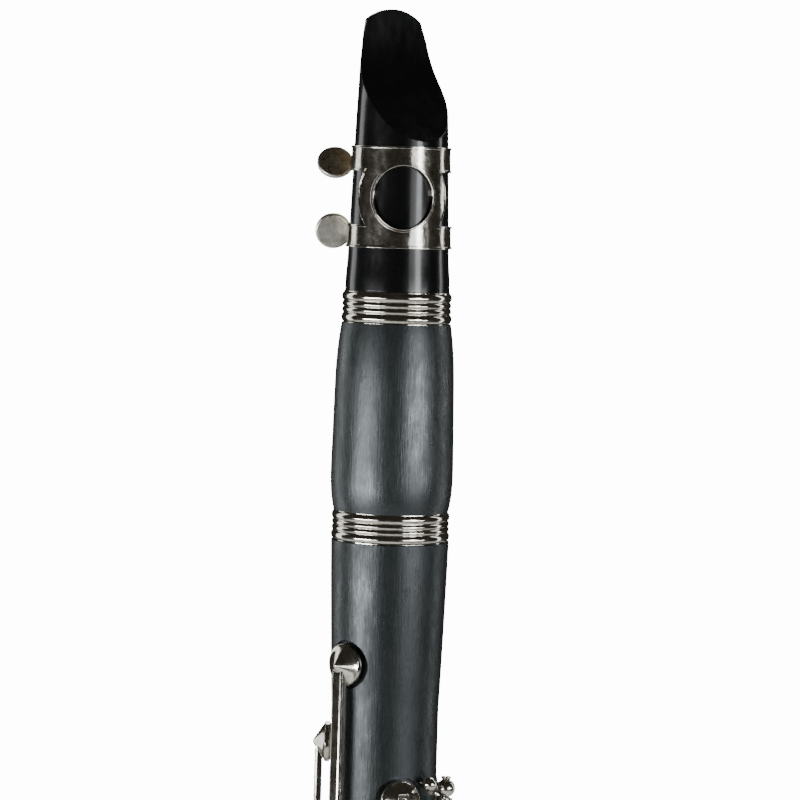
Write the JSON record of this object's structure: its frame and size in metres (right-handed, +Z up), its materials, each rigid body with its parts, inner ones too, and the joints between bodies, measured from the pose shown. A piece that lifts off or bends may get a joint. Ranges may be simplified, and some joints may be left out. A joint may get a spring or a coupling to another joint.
{
  "type": "clarinet",
  "caption": "B flat soprano clarinet standing on its bell: mouthpiece with reed and ligature, barrel, two jointed bodies with sprung keywork, and a flared bell.",
  "frame": {"origin": "centre of the bell's rim plane, on the bore axis", "axes": "+Z up the bore axis towards the mouthpiece's tip, -Y towards the front with the finger holes"},
  "size_m": [0.0818, 0.0818, 0.6695],
  "materials": {
    "ebonite": "polished",
    "body_black": "brushed satin",
    "nickel": "polished plating",
    "cane": "sanded",
    "cork": "greased",
    "pad_skin": "smooth skin",
    "spring_steel": "blued"
  },
  "bodies": {
    "instrument_body": {"upper_joint": "body_black", "lower_joint": "body_black", "bell": "body_black", "tenon_corks": "cork", "lower_joint_socket_ring": "nickel", "bell_socket_ring": "nickel", "bell_rim_ring": "nickel", "thumb_rest": "nickel", "thumb_rest_screws": "nickel", "tone_hole_tubes": "ebonite", "posts": "nickel", "hinge_rods": "nickel", "needle_springs": "spring_steel"},
    "barrel": {"barrel": "body_black", "barrel_top_ring": "nickel", "barrel_bottom_ring": "nickel"},
    "mouthpiece": {"mouthpiece": "ebonite", "mouthpiece_cork": "cork", "reed": "cane", "ligature_band": "nickel"},
    "ligature_screw_upper": {"ligature_screw_upper": "nickel"},
    "ligature_screw_lower": {"ligature_screw_lower": "nickel"},
    "left_first_ring_key": {"left_first_ring_key": "nickel", "left_first_ring_pad": "pad_skin"},
    "left_second_ring_key": {"left_second_ring_key": "nickel", "left_second_ring_pad": "pad_skin"},
    "throat_g_sharp_key": {"throat_g_sharp_key": "nickel", "throat_g_sharp_pad": "pad_skin"},
    "thumb_ring_key": {"thumb_ring_key": "nickel"},
    "c_sharp_key": {"c_sharp_key": "nickel", "c_sharp_pad": "pad_skin"},
    "right_ring_key": {"right_ring_key": "nickel", "right_ring_pad": "pad_skin"},
    "right_sliver_key": {"right_sliver_key": "nickel", "right_sliver_pad": "pad_skin"},
    "g_sharp_key": {"g_sharp_key": "nickel", "g_sharp_pad": "pad_skin"},
    "low_f_sharp_key": {"low_f_sharp_key": "nickel", "low_f_sharp_pad": "pad_skin"},
    "low_f_key": {"low_f_key": "nickel", "low_f_pad": "pad_skin"},
    "low_e_key": {"low_e_key": "nickel", "low_e_pad": "pad_skin"},
    "f_sharp_lever": {"f_sharp_lever": "nickel"},
    "f_lever": {"f_lever": "nickel"},
    "e_lever": {"e_lever": "nickel"},
    "register_key": {"register_key": "nickel", "register_pad": "pad_skin"},
    "throat_a_key": {"throat_a_key": "nickel", "throat_a_pad": "pad_skin"},
    "side_key_4": {"side_key_4": "nickel", "side_4_pad": "pad_skin"},
    "side_key_2": {"side_key_2": "nickel", "side_2_pad": "pad_skin"},
    "side_key_1": {"side_key_1": "nickel", "side_1_pad": "pad_skin"},
    "side_key_3": {"side_key_3": "nickel", "side_3_pad": "pad_skin"},
    "left_sliver_key": {"left_sliver_key": "nickel", "left_sliver_pad": "pad_skin"}
  },
  "joints": [
    {"name": "barrel_pull", "type": "slide", "parent": "instrument_body", "child": "barrel", "axis": [0, 0, 1], "range_m": [0, 0.003]},
    {"name": "mouthpiece_twist", "type": "hinge", "parent": "barrel", "child": "mouthpiece", "pos_m": [0, 0, 0.5945], "axis": [0, 0, 1], "range_deg": [-20, 20]},
    {"name": "ligature_screw_upper_turn", "type": "hinge", "parent": "mouthpiece", "child": "ligature_screw_upper", "pos_m": [0.00438, 0.01528, 0.6284], "axis": [-0.9613, 0.2756, 0], "continuous": true},
    {"name": "ligature_screw_lower_turn", "type": "hinge", "parent": "mouthpiece", "child": "ligature_screw_lower", "pos_m": [0.00438, 0.01528, 0.61], "axis": [-0.9613, 0.2756, 0], "continuous": true},
    {"name": "left_first_ring_key_press", "type": "hinge", "parent": "instrument_body", "child": "left_first_ring_key", "pos_m": [0.01315, -0.01315, 0.4315], "axis": [0, 0, -1], "range_deg": [0, 4.3], "stiffness_Nm_per_rad": 0.03, "springref_deg": -20.05},
    {"name": "left_second_ring_key_press", "type": "hinge", "parent": "instrument_body", "child": "left_second_ring_key", "pos_m": [0.01315, -0.01315, 0.37875], "axis": [0, 0, -1], "range_deg": [0, 4.3], "stiffness_Nm_per_rad": 0.03, "springref_deg": -20.05},
    {"name": "throat_g_sharp_key_press", "type": "hinge", "parent": "instrument_body", "child": "throat_g_sharp_key", "pos_m": [0.01315, -0.01315, 0.4549], "axis": [0, 0, -1], "range_deg": [0, 13], "stiffness_Nm_per_rad": 0.03, "springref_deg": -20.05},
    {"name": "thumb_ring_key_press", "type": "hinge", "parent": "instrument_body", "child": "thumb_ring_key", "pos_m": [0.01642, 0.00873, 0.444], "axis": [0, 0, 1], "range_deg": [0, 3.2], "stiffness_Nm_per_rad": 0.03, "springref_deg": -20.05},
    {"name": "c_sharp_key_press", "type": "hinge", "parent": "instrument_body", "child": "c_sharp_key", "pos_m": [0.01832, 0.00323, 0.342], "axis": [0, 0, -1], "range_deg": [0, 12], "stiffness_Nm_per_rad": 0.03, "springref_deg": -20.05},
    {"name": "right_ring_key_press", "type": "hinge", "parent": "instrument_body", "child": "right_ring_key", "pos_m": [0.01358, -0.01358, 0.275], "axis": [0, 0, -1], "range_deg": [0, 4.2], "stiffness_Nm_per_rad": 0.03, "springref_deg": -20.05},
    {"name": "right_sliver_key_press", "type": "hinge", "parent": "instrument_body", "child": "right_sliver_key", "pos_m": [-0.01358, -0.01358, 0.258], "axis": [0, 0, 1], "range_deg": [0, 12], "stiffness_Nm_per_rad": 0.03, "springref_deg": -20.05},
    {"name": "g_sharp_key_press", "type": "hinge", "parent": "instrument_body", "child": "g_sharp_key", "pos_m": [-0.00529, -0.01846, 0.219], "axis": [0, 0, -1], "range_deg": [0, 13], "stiffness_Nm_per_rad": 0.03, "springref_deg": -20.05},
    {"name": "low_f_sharp_key_press", "type": "hinge", "parent": "instrument_body", "child": "low_f_sharp_key", "pos_m": [-0.01663, -0.0096, 0.20125], "axis": [0, 0, 1], "range_deg": [0, 8], "stiffness_Nm_per_rad": 0.03, "springref_deg": -20.05},
    {"name": "low_f_key_press", "type": "hinge", "parent": "instrument_body", "child": "low_f_key", "pos_m": [-0.01871, -0.00432, 0.189], "axis": [0, 0, 1], "range_deg": [0, 7], "stiffness_Nm_per_rad": 0.03, "springref_deg": -20.05},
    {"name": "low_e_key_press", "type": "hinge", "parent": "instrument_body", "child": "low_e_key", "pos_m": [-0.01915, 0.00134, 0.175], "axis": [0, 0, 1], "range_deg": [0, 6.5], "stiffness_Nm_per_rad": 0.03, "springref_deg": -20.05},
    {"name": "f_sharp_lever_press", "type": "hinge", "parent": "instrument_body", "child": "f_sharp_lever", "pos_m": [0.01826, -0.00593, 0.2361], "axis": [0, 0, -1], "range_deg": [0, 14], "stiffness_Nm_per_rad": 0.03, "springref_deg": -20.05},
    {"name": "f_lever_press", "type": "hinge", "parent": "instrument_body", "child": "f_lever", "pos_m": [0.0192, -0.00034, 0.2241], "axis": [0, 0, -1], "range_deg": [0, 9.8], "stiffness_Nm_per_rad": 0.03, "springref_deg": -20.05},
    {"name": "e_lever_press", "type": "hinge", "parent": "instrument_body", "child": "e_lever", "pos_m": [0.01846, 0.00529, 0.2101], "axis": [0, 0, -1], "range_deg": [0, 8], "stiffness_Nm_per_rad": 0.03, "springref_deg": -20.05},
    {"name": "register_key_press", "type": "hinge", "parent": "instrument_body", "child": "register_key", "pos_m": [0, 0.0186, 0.478], "axis": [-1, 0, 0], "range_deg": [0, 6], "stiffness_Nm_per_rad": 0.03, "springref_deg": -20.05},
    {"name": "throat_a_key_press", "type": "hinge", "parent": "instrument_body", "child": "throat_a_key", "pos_m": [-0.00065, -0.01859, 0.4498], "axis": [0.9994, -0.0349, 0], "range_deg": [0, 11], "stiffness_Nm_per_rad": 0.03, "springref_deg": -20.05},
    {"name": "side_key_4_press", "type": "hinge", "parent": "instrument_body", "child": "side_key_4", "pos_m": [-0.01691, -0.00803, 0.397], "axis": [0.5299, -0.848, 0], "range_deg": [0, 2], "stiffness_Nm_per_rad": 0.03, "springref_deg": -20.05},
    {"name": "side_key_2_press", "type": "hinge", "parent": "instrument_body", "child": "side_key_2", "pos_m": [-0.01463, -0.01168, 0.397], "axis": [0.5299, -0.848, 0], "range_deg": [0, 2.8], "stiffness_Nm_per_rad": 0.03, "springref_deg": -20.05},
    {"name": "side_key_1_press", "type": "hinge", "parent": "instrument_body", "child": "side_key_1", "pos_m": [-0.0156, 0.01036, 0.388], "axis": [-0.454, -0.891, 0], "range_deg": [0, 2.8], "stiffness_Nm_per_rad": 0.03, "springref_deg": -20.05},
    {"name": "side_key_3_press", "type": "hinge", "parent": "instrument_body", "child": "side_key_3", "pos_m": [-0.01755, 0.00653, 0.388], "axis": [-0.454, -0.891, 0], "range_deg": [0, 2], "stiffness_Nm_per_rad": 0.03, "springref_deg": -20.05},
    {"name": "left_sliver_key_press", "type": "hinge", "parent": "instrument_body", "child": "left_sliver_key", "pos_m": [-0.00727, -0.01712, 0.365], "axis": [-0.9205, 0.3907, 0], "range_deg": [0, 7], "stiffness_Nm_per_rad": 0.03, "springref_deg": -20.05}
  ],
  "couplings": [
    {"joint": "f_sharp_lever_press", "follows": "low_f_sharp_key_press", "ratio": 1.75},
    {"joint": "f_lever_press", "follows": "low_f_key_press", "ratio": 1.4},
    {"joint": "e_lever_press", "follows": "low_e_key_press", "ratio": 1.23}
  ]
}
